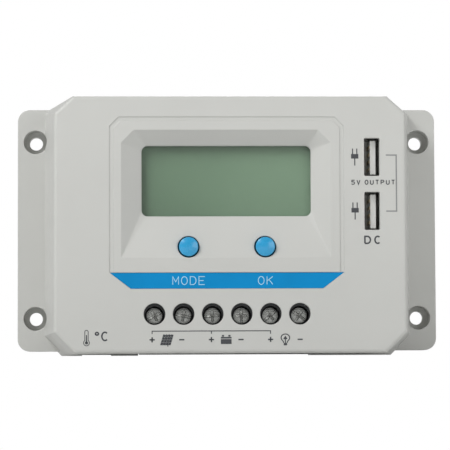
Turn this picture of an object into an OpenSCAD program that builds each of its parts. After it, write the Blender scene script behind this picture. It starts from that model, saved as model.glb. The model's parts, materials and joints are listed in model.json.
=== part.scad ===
// Wall-mounted solar charge controller: plastic cover with two fixing ears, aluminium back plate,
// display, two push buttons, two USB outlets and six rising-cage screw terminals.
// Every part is drawn in the panel's own frame (x to the right, y up the panel, z out of the wall)
// and upright() then stands it up: x stays, the wall normal becomes -Y and "up the panel" becomes +Z.
// The origin is the centre of the four wall-fixing holes, on the back plane.

/* [Housing] */
// Width over the two fixing ears
overall_w = 142; // [136:0.5:150]
// Height of the housing
overall_h = 85; // [84:0.5:90]
// Depth from the wall to the front panel
face_d = 40.5; // [40.5:0.5:46]
// Half width of the housing where it meets the wall
base_half_w = 63; // [62:0.25:63.5]
// Half width of the front panel
face_half_w = 57.8; // [57:0.2:59]
// Wall thickness of the side walls
side_wall = 2.2; // [1.8:0.1:2.6]
// Wall thickness of the front panel
face_wall = 2.5; // [2.2:0.1:2.8]
// Rounding of the front panel's rim
rim_r = 1.2; // [0.6:0.1:1.6]

/* [Fixing ears] */
// Height of the ears
ear_h = 82; // [80:0.5:84]
// Depth of the ears from the wall
ear_d = 9; // [8:0.5:11]
// Corner radius of the ears
ear_r = 4; // [3:0.5:6]
// Distance between the fixing holes, across
hole_pitch_x = 130; // [129:0.5:131]
// Distance between the fixing holes, up
hole_pitch_y = 60; // [58:0.5:62]
// Diameter of the fixing holes
hole_dia = 4.5; // [4:0.1:5]
// Diameter of the counterbore round each fixing hole
counterbore_dia = 8; // [7.5:0.25:9]
// Plastic left under the counterbore
counterbore_floor = 3; // [2.5:0.25:4]

/* [Panel layout] */
// Middle line of the display, buttons, label and terminals
panel_x = -1.2; // [-1.6:0.1:-0.8]
// Width of the display window
window_w = 55.8; // [54:0.2:56]
// Height of the display window
window_h = 23.3; // [22:0.1:23.6]
// Height of the window's centre above the origin
window_y = 14.5; // [14.3:0.1:14.7]
// Depth of the display recess
recess_d = 4.5; // [4:0.1:4.8]
// Distance between the two buttons
button_pitch = 25.1; // [24:0.1:26]
// Height of the buttons' centres above the origin
button_y = -7.35; // [-7.6:0.05:-7.1]
// Diameter of a button cap
button_dia = 6.3; // [6:0.1:6.5]
// Distance between neighbouring terminals
terminal_pitch = 9.5; // [9.4:0.05:9.6]
// Height of the terminal screws' axes above the origin
terminal_y = -29.85; // [-30.1:0.05:-29.6]
// Middle line of the USB outlets
usb_x = 46.5; // [46:0.1:46.8]

/* [Hidden] */

$fn = 48;
eps = 0.01;            // small overlap that keeps cuts clean
fit_gap = 0.3;         // gap round a part that moves or drops in
half_h = overall_h / 2;
rim_steps = 3;         // flats that make up the rounded rim

// Colours
abs_grey = "#cfcfca";
dark_plastic = "#1b1c1e";
board_green = "#1f5c3a";
steel = "#b9bcc0";
brass = "#c9a552";

// Corners of the housing outline: [across, up] at the top, one size at the bottom
base_top_cut = [3.2, 2.2];
base_low_cut = 6.6;
face_top_cut = [6.2, 5.6];
face_low_cut = 6.9;
face_draft = 0.3;      // the front panel is this much lower than the base, top and bottom

// Depths, counted from the wall
plate_t = 3;
board_t = 1.6;
main_board_d = 9;                             // back of the main board
main_front_d = main_board_d + board_t;        // its component side
control_board_d = 22.8;
control_front_d = control_board_d + board_t;
face_back_d = face_d - face_wall;
recess_floor_d = face_d - recess_d;
recess_wall = 1.4;
window_t = 0.9;
seat_gap = 0.05;                              // the window lies this far behind its seat
window_back_d = recess_floor_d - recess_wall - window_t - seat_gap;
lcd_t = 2.7;
lcd_gap = 0.1;                                // between the window and the glass behind it
window_margin = [3.4, 3.4];                   // how much wider and higher each part is than the opening
lcd_margin = [3, 4];
carrier_margin = [6, 7];
backlight_margin = [2, 3];
backlight_low = 2;

// Back plate and its screws
plate_gap = 0.5;
counterbore_wall = 1.5;
cover_screw_x = 53;
cover_screw_y = 33.5;
cover_screw_r = 1.25;
cover_screw_tip_d = 15;
cover_head_r = 3;
cover_head_t = 1.55;
cover_boss_r = 3.2;
clear_gap = 0.35;                             // screws pass through their holes with this much room
drive_w = 0.7;                                // width of a screw's cross recess

// Display recess outline on the front panel, relative to the window's centre
recess_left = 34.6;
recess_right = 34.2;
recess_top = 16.5;
recess_low = 25.5;
recess_cut = 4.2;
window_corner_r = 2;

// Raised border line round the display and buttons
border_half_w = 38.4;
border_top_y = 35.3;
border_cut = 3;
border_line = 1.3;
border_line_d = 0.2;

// Label strip
label_top_y = -15.8;
label_low_y = -21.1;
label_half_top = 38.4;
label_half_low = 31.5;
label_pocket_d = 0.5;
label_t = 0.35;
label_gap = 0.08;

// Buttons and their switches
button_x = [panel_x - button_pitch / 2, panel_x + button_pitch / 2];
button_hole_gap = 0.45;
button_top_d = face_d + 1;
button_dome = 0.6;
button_flange_r = 4.1;
button_flange_t = 0.9;
button_flange_top_d = face_d - 5.2;
plunger_r = 1.7;
plunger_top_d = control_front_d + 6;
plunger_low_d = control_front_d + 3.4;
plunger_gap = 0.1;
switch_side = 6;
switch_h = 4;
switch_bore_low = 2.5;                        // the plunger's bore starts this far above the board
button_stem_r = 1.5;
button_edge = 0.7;

// USB outlets
usb_y = [22.03, 4.28];
usb_mouth = [5.1, 12.5];
usb_mouth_r = 0.5;
usb_shell_t = 0.3;
usb_tongue = [1.84, 11.1];
usb_base_gap = 0.1;
usb_tongue_shift = 0.55;
usb_tongue_tip = 0.5;                         // how far the tongue stays behind the shell's mouth
usb_base_h = 3.4;

// Posts that carry the control board, in the panel frame
post_r = 2.4;
posts = [[-36, 29], [36.8, 27.5], [-36, -10.3], [52.6, -9.8]];
post_screw_r = 0.9;
post_screw_head_r = 1.8;
post_screw_head_t = 1.4;
post_screw_reach = 6;
board_hole_gap = 0.3;
control_left = -38.7;
control_right = 55.6;
control_low = -13;
control_top = 32;

// Terminals
terminal_count = 6;
terminal_x = [for (i = [0 : terminal_count - 1]) panel_x + (i - (terminal_count - 1) / 2) * terminal_pitch];
access_dia = 7.1;
access_rise = 0.5;                            // the holes in the panel sit this far above the screws
screw_head_r = 2.9;
screw_head_top_d = face_d - 5.3;
screw_head_t = 2.8;
screw_r = 2;
screw_tip_d = 25.5;
screw_chamfer = 0.4;
slot_w = 0.9;
slot_d = 1.3;
cross_l = 3.6;
thread_gap = 0.05;
cage_w = 7;
cage_l = 8;
cage_side = 1;
cage_top_low_d = 25.9;                        // underside of the cage's threaded top, cage open
cage_top_t = 2.2;
cage_floor_d = 18.4;                          // top of the cage's floor, cage open
cage_floor_t = 1.2;
cage_travel = 3.5;
cage_low_d = cage_floor_d - cage_floor_t;
cage_high_d = cage_top_low_d + cage_top_t;
entry_half_w = 2.6;
bar_half_w = 2.2;
bar_low_d = 23.5;
bar_t = 1.4;
bar_leg_t = 1.5;
bar_end_gap = 0.9;                            // the bar stops this far short of the block's upper side
bar_tail_half_w = 0.7;
slot_gap = 0.1;
block_half_w = 28.8;
block_low_y = -42.2;
block_top_y = -22;
block_top_d = face_back_d - 0.2;
apron_t = 2;
apron_gap = 0.2;

// Temperature-sensor socket
sensor_x = -44.5;
sensor_w = 9.4;
sensor_top_y = -32;
sensor_h = 8;
sensor_wall = 0.9;
sensor_back_wall = 1.2;
sensor_pin = 1;
sensor_pin_l = 4.2;
sensor_pin_pitch = 3.81;

// Main board and what it carries
board_half_w = 49.3;
board_low_y = -39.8;
board_top_y = 36;
spacers = [[-44.5, 30], [44.5, 30], [-44.5, -26], [44.5, -26]];
spacer_r = 3;
board_screw_r = 1.4;
board_screw_head_r = 2.7;
board_screw_head_t = 1.9;
screw_end_d = 0.4;                            // screws from the front end this far inside the back plate
header_y = -9.5;
lead_pitch = 2.54;                            // standard spacing of component leads
header_pin_r = 0.35;
pin_hole_r = 0.5;
pin_stub = 0.8;                               // leads stand this far out of their board
mosfet_x = [-33, -12, 9, 30];
mosfet_y = -6;
mosfet_w = 10;
mosfet_half_l = 4.6;
mosfet_low_t = 1.3;                           // thickness of the metal tab
mosfet_top_t = 4.4;
mosfet_tab_l = 11.4;                          // the tab ends this far above the package's centre
mosfet_hole_y = 9;                            // and its hole is this far above it
mosfet_hole_r = 1.8;
mosfet_screw_r = 1.25;
mosfet_screw_head_r = 2.6;
mosfet_screw_head_t = 1.8;
lead_w = 0.8;
lead_t = 0.5;
lead_end = 12.6;
pad_t = 0.3;
pad_margin = 1;

// Larger components on the main board
capacitor_r = 4.9;
capacitor_h = 19.5;
capacitor_y = [16, 4.5];
component_x = -44;
inductor_y = -9;
inductor_r = 3.4;
inductor_section = [2, 3.6];
winding_turns = 12;
winding_t = 0.5;
chip_low = [16, 6];
chip_side = 10;
chip_t = 1.5;
driver_places = [[-26, 12], [-12, 20], [2, 26]];
driver_size = [5, 4, 1.6];
shunt_place = [36, -20];
shunt_half_l = 5;
shunt_half_w = 2;
shunt_foot = 1;
shunt_rise = 2.4;
shunt_t = 0.8;

module upright() { rotate([90, 0, 0]) children(); }

// A slab of a 2D shape from one depth to another
module slab(from_d, to_d) { translate([0, 0, from_d]) linear_extrude(height = to_d - from_d) children(); }

// An upright box given by its low and high corners in the panel frame
module block_between(low, high) { translate(low) cube(high - low); }

module rod(r, from_d, to_d) { translate([0, 0, from_d]) cylinder(r = r, h = to_d - from_d); }

// Rectangle with true round corners
module rounded_rect(w, h, r) {
    square([w - 2 * r, h], center = true);
    square([w, h - 2 * r], center = true);
    for (sx = [-1, 1], sy = [-1, 1])
        translate([sx * (w / 2 - r), sy * (h / 2 - r)]) circle(r = r);
}

// Housing outline: a rectangle with cut corners, moved inwards by inset
function cut_outline(half_w, high, top_cut, low_cut, inset = 0) =
    let (w = half_w - inset, h = high - inset, shrink = inset * (2 - sqrt(2)))
    let (tx = top_cut[0] - shrink, ty = top_cut[1] - shrink, lc = low_cut - shrink)
    [[-w, -h + lc], [-w + lc, -h], [w - lc, -h], [w, -h + lc],
     [w, h - ty], [w - tx, h], [-w + tx, h], [-w, h - ty]];

module thin(outline, d) { translate([0, 0, d]) linear_extrude(height = eps) polygon(outline); }

// The tapering body, moved inwards by inset and ending at the depth top_d
module body_solid(inset, top_d, round_r) {
    hull() {
        thin(cut_outline(base_half_w, half_h, base_top_cut, base_low_cut, inset), 0);
        thin(cut_outline(face_half_w, half_h - face_draft, face_top_cut, face_low_cut, inset),
             top_d - round_r);
        for (step = [1 : rim_steps])
            thin(cut_outline(face_half_w, half_h - face_draft, face_top_cut, face_low_cut,
                             inset + round_r * (1 - cos(90 * step / rim_steps))),
                 top_d - round_r + round_r * sin(90 * step / rim_steps) - eps);
    }
}

// Display recess: sloping walls down to the window's plane and a long ramp below it, grown by wall
module recess_solid(wall) {
    hull() {
        translate([panel_x, window_y, face_d])
            linear_extrude(height = 1)
                polygon([[-recess_left - wall, -recess_low - wall],
                         [recess_right + wall, -recess_low - wall],
                         [recess_right + wall, recess_top + wall - recess_cut],
                         [recess_right + wall - recess_cut, recess_top + wall],
                         [-recess_left - wall + recess_cut, recess_top + wall],
                         [-recess_left - wall, recess_top + wall - recess_cut]]);
        translate([panel_x, window_y, recess_floor_d - wall])
            linear_extrude(height = eps)
                rounded_rect(window_w + 2 * wall, window_h + 2 * wall, window_corner_r);
    }
}

module label_outline(inset = 0) {
    polygon([[panel_x - label_half_top + 2 * inset, label_top_y - inset],
             [panel_x + label_half_top - 2 * inset, label_top_y - inset],
             [panel_x + label_half_low - inset, label_low_y + inset],
             [panel_x - label_half_low + inset, label_low_y + inset]]);
}

function border_points(inset) =
    let (w = border_half_w - inset, top = border_top_y - inset, cut = border_cut - 0.6 * inset)
    [[panel_x - w, label_top_y], [panel_x + w, label_top_y], [panel_x + w, top - cut],
     [panel_x + w - cut, top], [panel_x - w + cut, top], [panel_x - w, top - cut]];

// Shallow line that frames the display and the buttons, open at the label
module border_groove() {
    slab(face_d - border_line_d, face_d + 1)
        difference() {
            polygon(border_points(0));
            polygon(border_points(border_line));
            translate([panel_x, label_top_y])
                square([2 * (border_half_w - border_line), 2], center = true);
        }
}

// Hollows that keep the ears' walls even, open to the back
module ear_pockets() {
    pocket_w = 5;
    pocket_h = 9.2;
    rib = 1.6;
    skin = 2;
    for (side = [-1, 1], row = [-1.5 : 1 : 1.5])
        translate([side * (overall_w / 2 - skin - pocket_w / 2), row * (pocket_h + rib), -eps])
            linear_extrude(height = ear_d - skin) square([pocket_w, pocket_h], center = true);
}

module at_wall_holes() {
    for (sx = [-1, 1], sy = [-1, 1])
        translate([sx * hole_pitch_x / 2, sy * hole_pitch_y / 2, 0]) children();
}

module at_cover_screws() {
    for (sx = [-1, 1], sy = [-1, 1])
        translate([sx * cover_screw_x, sy * cover_screw_y, 0]) children();
}

module cover_inside() {
    difference() {
        intersection() {
            body_solid(side_wall, face_back_d, eps * 4);
            slab(-1, face_back_d) square([overall_w, overall_h], center = true);
        }
        recess_solid(recess_wall);
        at_wall_holes() rod(counterbore_dia / 2 + counterbore_wall, -1, face_d);
        at_cover_screws() rod(cover_boss_r, plate_t + seat_gap, face_d);
        for (p = posts) translate(p) rod(post_r, control_front_d + seat_gap, face_d);
    }
}

module front_cover() {
    color(abs_grey) upright() difference() {
        union() {
            body_solid(0, face_d, rim_r);
            slab(0, ear_d) rounded_rect(overall_w, ear_h, ear_r);
        }
        translate([0, 0, -eps]) cover_inside();
        recess_solid(0);
        slab(recess_floor_d - recess_wall - 1, recess_floor_d + eps)
            translate([panel_x, window_y]) rounded_rect(window_w, window_h, window_corner_r);
        for (x = button_x) translate([x, button_y, 0])
            rod(button_dia / 2 + button_hole_gap, recess_floor_d - 2 * recess_wall, face_d + 1);
        for (y = usb_y) translate([usb_x, y, 0])
            slab(face_back_d - 1, face_d + 1) rounded_rect(usb_mouth[0], usb_mouth[1], usb_mouth_r);
        for (x = terminal_x) translate([x, terminal_y + access_rise, 0])
            rod(access_dia / 2, face_back_d - 1, face_d + 1);
        slab(face_d - label_pocket_d, face_d + 1) label_outline();
        border_groove();
        at_wall_holes() rod(hole_dia / 2, -1, counterbore_floor + 1);
        at_wall_holes() rod(counterbore_dia / 2, counterbore_floor, face_d + 1);
        ear_pockets();
        at_cover_screws() rod(cover_screw_r + thread_gap, plate_t - 1, cover_screw_tip_d + 1);
        for (p = posts) translate(p)
            rod(post_screw_r + thread_gap, control_front_d - 1, control_front_d + post_screw_reach + 1);
        // notches that let the terminal block and the sensor socket show in the lower wall
        block_between([panel_x - block_half_w - fit_gap, -half_h - 1, -1],
                      [panel_x + block_half_w + fit_gap, -half_h + side_wall + 1, block_top_d + 0.1]);
        block_between([sensor_x - sensor_w / 2 - fit_gap, -half_h - 1, -1],
                      [sensor_x + sensor_w / 2 + fit_gap, -half_h + side_wall + 1,
                       main_front_d + sensor_h + fit_gap]);
    }
}

module back_plate() {
    color("#aeb1b4") upright() difference() {
        slab(0, plate_t)
            polygon(cut_outline(base_half_w, half_h, base_top_cut, base_low_cut, side_wall + plate_gap));
        at_wall_holes() rod(counterbore_dia / 2 + counterbore_wall + plate_gap, -1, plate_t + 1);
        at_cover_screws() rod(cover_screw_r + clear_gap, -1, plate_t + 1);
        at_cover_screws() translate([0, 0, -eps])
            cylinder(r1 = cover_head_r + slot_gap, r2 = cover_screw_r + clear_gap,
                     h = cover_head_t + thread_gap);
        for (p = spacers) translate(p) rod(board_screw_r + thread_gap, -1, plate_t + 1);
        for (x = mosfet_x) translate([x, mosfet_y + mosfet_hole_y, 0])
            rod(mosfet_screw_r + thread_gap, -1, plate_t + 1);
    }
}

module label_strip() {
    color("#1f8fd0") upright()
        slab(face_d - label_pocket_d, face_d - label_pocket_d + label_t) label_outline(label_gap);
}

// A block behind the display window, wider and higher than it by margin
module behind_window(margin, from_d, to_d) {
    slab(from_d, to_d) translate([panel_x, window_y])
        square([window_w + margin[0], window_h + margin[1]], center = true);
}

module display_window() {
    color("#dfe8e2", 0.4) upright() behind_window(window_margin, window_back_d, window_back_d + window_t);
}

module lcd_glass() {
    color("#7c9483") upright()
        behind_window(lcd_margin, window_back_d - lcd_gap - lcd_t, window_back_d - lcd_gap);
}

module lcd_backlight() {
    color("#e8ecdf") upright()
        behind_window(backlight_margin, control_front_d + backlight_low, window_back_d - lcd_gap - lcd_t);
}

module lcd_carrier() {
    color("#e9e9e4") upright() difference() {
        behind_window(carrier_margin, control_front_d, window_back_d - lcd_gap);
        behind_window(lcd_margin, window_back_d - lcd_gap - lcd_t, window_back_d);
        behind_window(backlight_margin, control_front_d + backlight_low, window_back_d);
    }
}

module control_board() {
    notch_x = 46;
    notch_y = 29.4;
    color(board_green) upright() difference() {
        block_between([control_left, control_low, control_board_d],
                      [control_right, control_top, control_front_d]);
        block_between([notch_x, notch_y, control_board_d - 1],
                      [control_right + 1, control_top + 1, control_front_d + 1]);
        for (p = posts) translate(p)
            rod(post_screw_r + board_hole_gap, control_board_d - 1, control_front_d + 1);
        translate([panel_x, header_y, 0]) at_header_pins()
            rod(pin_hole_r, control_board_d - 1, control_front_d + 1);
    }
}

module control_screws() {
    color(steel) upright() for (p = posts) translate(p) {
        rod(post_screw_r, control_board_d, control_front_d + post_screw_reach);
        rod(post_screw_head_r, control_board_d - post_screw_head_t, control_board_d);
    }
}

module button(x) {
    cap_r = button_dia / 2;
    flange_low_d = button_flange_top_d - button_flange_t;
    color("#45a9e0") upright() translate([x, button_y, 0]) rotate_extrude()
        polygon([[0, plunger_top_d], [button_stem_r, plunger_top_d], [button_stem_r, flange_low_d],
                 [button_flange_r, flange_low_d], [button_flange_r, button_flange_top_d],
                 [cap_r, button_flange_top_d], [cap_r, button_top_d - button_dome],
                 [cap_r - button_edge / 3, button_top_d - button_dome / 3],
                 [cap_r - button_edge, button_top_d], [0, button_top_d]]);
}

module plunger(x) {
    color(dark_plastic) upright() translate([x, button_y, 0]) rod(plunger_r, plunger_low_d, plunger_top_d);
}

module switch_bodies() {
    color(dark_plastic) upright() for (x = button_x) difference() {
        translate([x - switch_side / 2, button_y - switch_side / 2, control_front_d])
            cube([switch_side, switch_side, switch_h]);
        translate([x, button_y, 0])
            rod(plunger_r + plunger_gap, control_front_d + switch_bore_low, control_front_d + switch_h + 1);
    }
}

module usb_shell(y) {
    color(steel) upright() translate([usb_x, y, 0]) difference() {
        slab(control_front_d, face_back_d - seat_gap)
            rounded_rect(usb_mouth[0] + 2 * usb_shell_t, usb_mouth[1] + 2 * usb_shell_t,
                         usb_mouth_r + usb_shell_t);
        slab(control_front_d - 1, face_back_d + 1) rounded_rect(usb_mouth[0], usb_mouth[1], usb_mouth_r);
    }
}

module usb_tongues() {
    color("#f2f2ee") upright() for (y = usb_y) translate([usb_x, y, 0]) {
        slab(control_front_d, control_front_d + usb_base_h)
            rounded_rect(usb_mouth[0] - usb_base_gap, usb_mouth[1] - usb_base_gap, usb_mouth_r);
        slab(control_front_d + usb_base_h - eps, face_back_d - usb_tongue_tip)
            translate([usb_tongue_shift, 0]) square(usb_tongue, center = true);
    }
}

module usb_contacts() {
    contact_w = 1;
    contact_t = 0.25;
    contact_pitch = 2.4;
    contact_tip = 2;
    color(brass) upright() for (y = usb_y, k = [-1.5 : 1 : 1.5])
        translate([usb_x + usb_tongue_shift - usb_tongue[0] / 2, y + contact_pitch * k, 0])
            block_between([-contact_t, -contact_w / 2, control_front_d + usb_base_h],
                          [0, contact_w / 2, face_back_d - contact_tip]);
}

module at_header_pins() {
    for (column = [-2.5 : 1 : 2.5], row = [-0.5, 0.5])
        translate([column * lead_pitch, row * lead_pitch, 0]) children();
}

module board_header() {
    color(dark_plastic) upright() translate([panel_x, header_y, 0]) difference() {
        slab(main_front_d, control_board_d) square([6 * lead_pitch, 2 * lead_pitch], center = true);
        at_header_pins() rod(header_pin_r + thread_gap, main_front_d - 1, control_board_d + 1);
    }
}

module header_pins() {
    color(brass) upright() translate([panel_x, header_y, 0]) at_header_pins()
        rod(header_pin_r, main_board_d - pin_stub, control_front_d + pin_stub);
}

module main_board() {
    color(board_green) upright() difference() {
        block_between([-board_half_w, board_low_y, main_board_d],
                      [board_half_w, board_top_y, main_front_d]);
        for (p = spacers) translate(p) rod(board_screw_r + slot_gap, main_board_d - 1, main_front_d + 1);
        translate([panel_x, header_y, 0]) at_header_pins()
            rod(pin_hole_r, main_board_d - 1, main_front_d + 1);
        translate([0, mosfet_y - lead_end + lead_w / 2, 0])
            for (x = mosfet_x, k = [-1 : 1]) translate([x + lead_pitch * k, 0, 0])
                rod(lead_w, main_board_d - 1, main_front_d + 1);
        for (x = terminal_x) translate([x, block_top_y - bar_end_gap - bar_leg_t / 2, 0])
            rod(bar_leg_t, main_board_d - 1, main_front_d + 1);
    }
}

module board_spacers() {
    color(brass) upright() for (p = spacers) translate(p) difference() {
        rod(spacer_r, plate_t, main_board_d);
        rod(board_screw_r + thread_gap, plate_t - 1, main_board_d + 1);
    }
}

// Pan-head machine screw whose head sits on the face at face_at and whose shank reaches down to tip_d
module pan_screw(r, head_r, head_t, tip_d, face_at) {
    difference() {
        union() {
            rod(r, tip_d, face_at + eps);
            rod(head_r, face_at, face_at + head_t);
        }
        for (turn = [0, 90]) rotate([0, 0, turn])
            translate([0, 0, face_at + head_t]) cube([head_r * 1.2, drive_w, head_t], center = true);
    }
}

module board_screws() {
    color(steel) upright() for (p = spacers) translate(p)
        pan_screw(board_screw_r, board_screw_head_r, board_screw_head_t, screw_end_d, main_front_d);
}

module cover_screws() {
    color(steel) upright() at_cover_screws() difference() {
        union() {
            cylinder(r1 = cover_head_r, r2 = cover_screw_r + 0.2, h = cover_head_t);
            rod(cover_screw_r, 0, cover_screw_tip_d);
        }
        for (turn = [0, 90]) rotate([0, 0, turn])
            cube([cover_head_r * 1.15, drive_w, cover_head_t], center = true);
    }
}

// Depths of a power transistor's parts, counted from the back plate's front
module mosfet_packages() {
    color(dark_plastic) upright() for (x = mosfet_x) translate([x, mosfet_y, plate_t + pad_t])
        block_between([-mosfet_w / 2, -mosfet_half_l, mosfet_low_t],
                      [mosfet_w / 2, mosfet_half_l, mosfet_top_t]);
}

module mosfet_tabs() {
    lead_d = mosfet_low_t * 2;
    board_at = main_front_d + pin_stub - plate_t - pad_t;
    color(steel) upright() for (x = mosfet_x) translate([x, mosfet_y, plate_t + pad_t]) {
        difference() {
            block_between([-mosfet_w / 2, -mosfet_half_l, 0], [mosfet_w / 2, mosfet_tab_l, mosfet_low_t]);
            translate([0, mosfet_hole_y, 0]) rod(mosfet_hole_r, -1, mosfet_low_t + 1);
        }
        for (k = [-1 : 1]) translate([lead_pitch * k, 0, 0]) {
            block_between([-lead_w / 2, -lead_end, lead_d], [lead_w / 2, -mosfet_half_l, lead_d + lead_t]);
            block_between([-lead_w / 2, -lead_end, lead_d], [lead_w / 2, lead_w - lead_end, board_at]);
        }
    }
}

module mosfet_screws() {
    color(steel) upright() for (x = mosfet_x) translate([x, mosfet_y + mosfet_hole_y, 0])
        pan_screw(mosfet_screw_r, mosfet_screw_head_r, mosfet_screw_head_t, screw_end_d,
                  plate_t + pad_t + mosfet_low_t);
}

module insulating_pads() {
    half_w = mosfet_w / 2 + pad_margin;
    color("#9aa7b5") upright() for (x = mosfet_x) translate([x, mosfet_y, plate_t]) difference() {
        block_between([-half_w, -mosfet_half_l - pad_margin, 0],
                      [half_w, mosfet_tab_l + pad_margin, pad_t]);
        translate([0, mosfet_hole_y, 0]) rod(mosfet_hole_r, -1, pad_t + 1);
    }
}

// Capacitor cans with the pressed groove near the foot and a rounded top
module capacitors() {
    groove = 0.35;
    groove_low = 1.6;
    groove_half = 0.5;
    top_round = 0.5;
    r = capacitor_r;
    color("#22303c") upright() for (y = capacitor_y) translate([component_x, y, main_front_d])
        rotate_extrude()
            polygon([[0, 0], [r, 0], [r, groove_low], [r - groove, groove_low + groove_half],
                     [r, groove_low + 2 * groove_half], [r, capacitor_h - top_round],
                     [r - top_round, capacitor_h], [0, capacitor_h]]);
}

// The choke lies on its winding, so its middle is half a wound section above the board
module at_inductor() {
    translate([component_x, inductor_y, main_front_d + inductor_section[1] / 2 + 2 * winding_t]) children();
}

module inductor_core() {
    color("#5f6468") upright() at_inductor()
        rotate_extrude() translate([inductor_r, 0]) square(inductor_section, center = true);
}

module inductor_winding() {
    wire_w = 0.7;
    section = [inductor_section[0] + 2 * winding_t, wire_w, inductor_section[1] + 2 * winding_t];
    inside = [inductor_section[0] + 2 * eps, 2 * wire_w, inductor_section[1] + 2 * eps];
    color("#b8692e") upright() at_inductor() for (k = [0 : winding_turns - 1])
        rotate([0, 0, k * 360 / winding_turns]) translate([inductor_r, 0, 0]) difference() {
            cube(section, center = true);
            cube(inside, center = true);
        }
}

module controller_chip() {
    color(dark_plastic) upright() translate([chip_low[0], chip_low[1], main_front_d])
        cube([chip_side, chip_side, chip_t]);
}

module driver_chips() {
    color(dark_plastic) upright() for (p = driver_places)
        translate([p[0], p[1], main_front_d]) cube(driver_size);
}

module current_shunt() {
    color(brass) upright() translate([shunt_place[0], shunt_place[1], main_front_d]) {
        for (side = [-1, 1]) translate([side * (shunt_half_l - shunt_foot / 2), 0, shunt_rise / 2])
            cube([shunt_foot, 2 * shunt_half_w, shunt_rise], center = true);
        block_between([-shunt_half_l, -shunt_half_w, shunt_rise - eps],
                      [shunt_half_l, shunt_half_w, shunt_rise + shunt_t]);
    }
}

module terminal_block() {
    slot_half_w = bar_half_w + slot_gap;
    slot_end_y = block_top_y - bar_end_gap + slot_gap;
    chamber_w = cage_w / 2 + fit_gap;
    chamber_l = cage_l / 2 + fit_gap;
    color("#2c2f33") upright() difference() {
        union() {
            block_between([panel_x - block_half_w, block_low_y, main_front_d],
                          [panel_x + block_half_w, block_top_y, block_top_d]);
            block_between([panel_x - block_half_w, block_low_y, plate_t + apron_gap],
                          [panel_x + block_half_w, block_low_y + apron_t, main_front_d + eps]);
        }
        for (x = terminal_x) translate([x, 0, 0]) {
            // bore for the screw head, open to the panel
            translate([0, terminal_y, 0])
                rod(screw_head_r + fit_gap, screw_head_top_d - screw_head_t, block_top_d + 1);
            // shank hole through the shoulder that holds the screw
            translate([0, terminal_y, 0]) rod(screw_r + fit_gap, cage_high_d, block_top_d);
            // chamber in which the cage rises
            block_between([-chamber_w, terminal_y - chamber_l, cage_low_d - fit_gap],
                          [chamber_w, terminal_y + chamber_l, cage_high_d + cage_travel + fit_gap]);
            // wire entry from below
            block_between([-entry_half_w, block_low_y - 1, cage_floor_d],
                          [entry_half_w, terminal_y - cage_l / 2, bar_low_d]);
            // slots for the contact bar and for its leg
            block_between([-slot_half_w, terminal_y, bar_low_d - slot_gap],
                          [slot_half_w, slot_end_y, bar_low_d + bar_t + slot_gap]);
            block_between([-slot_half_w, slot_end_y - bar_leg_t - 2 * slot_gap, main_front_d - 1],
                          [slot_half_w, slot_end_y, bar_low_d + bar_t]);
        }
    }
}

module terminal_bars() {
    bar_end_y = block_top_y - bar_end_gap;
    color(brass) upright() for (x = terminal_x) translate([x, 0, 0]) {
        block_between([-bar_half_w, terminal_y - cage_l / 2, bar_low_d],
                      [bar_half_w, bar_end_y, bar_low_d + bar_t]);
        block_between([-bar_half_w, bar_end_y - bar_leg_t, main_front_d],
                      [bar_half_w, bar_end_y, bar_low_d + eps]);
        block_between([-bar_tail_half_w, bar_end_y - bar_leg_t, main_board_d - pin_stub],
                      [bar_tail_half_w, bar_end_y, main_front_d + eps]);
    }
}

module terminal_screw(i) {
    head_low_d = screw_head_top_d - screw_head_t;
    color(steel) upright() translate([terminal_x[i], terminal_y, 0]) difference() {
        union() {
            rod(screw_r, screw_tip_d, head_low_d + eps);
            rod(screw_head_r, head_low_d, screw_head_top_d - screw_chamfer);
            translate([0, 0, screw_head_top_d - screw_chamfer - eps])
                cylinder(r1 = screw_head_r, r2 = screw_head_r - screw_chamfer, h = screw_chamfer + eps);
        }
        translate([0, 0, screw_head_top_d]) cube([2 * screw_head_r + 2, slot_w, 2 * slot_d], center = true);
        translate([0, 0, screw_head_top_d]) cube([slot_w, cross_l, 2 * slot_d], center = true);
    }
}

module terminal_cage(i) {
    color("#d6d8da") upright() translate([terminal_x[i], terminal_y, 0]) difference() {
        block_between([-cage_w / 2, -cage_l / 2, cage_low_d], [cage_w / 2, cage_l / 2, cage_high_d]);
        block_between([-cage_w / 2 + cage_side, -cage_l / 2 - 1, cage_floor_d],
                      [cage_w / 2 - cage_side, cage_l / 2 + 1, cage_top_low_d]);
        rod(screw_r + thread_gap, cage_top_low_d - 1, cage_high_d + 1);
    }
}

module sensor_socket() {
    low = [sensor_x - sensor_w / 2, block_low_y, main_front_d];
    high = [sensor_x + sensor_w / 2, sensor_top_y, main_front_d + sensor_h];
    color("#2f7d4a") upright() difference() {
        union() {
            block_between(low, high);
            block_between([low[0], block_low_y, plate_t + apron_gap],
                          [high[0], block_low_y + apron_t, main_front_d + eps]);
        }
        block_between([low[0] + sensor_wall, block_low_y - 1, low[2] + sensor_wall],
                      [high[0] - sensor_wall, sensor_top_y - sensor_back_wall, high[2] - sensor_wall]);
    }
}

module sensor_pins() {
    pin_top_y = sensor_top_y - sensor_back_wall;
    color(steel) upright() translate([sensor_x, pin_top_y - sensor_pin_l / 2, main_front_d + sensor_h / 2])
        for (k = [-1, 1]) translate([k * sensor_pin_pitch / 2, 0, 0])
            cube([sensor_pin, sensor_pin_l, sensor_pin], center = true);
}

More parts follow.
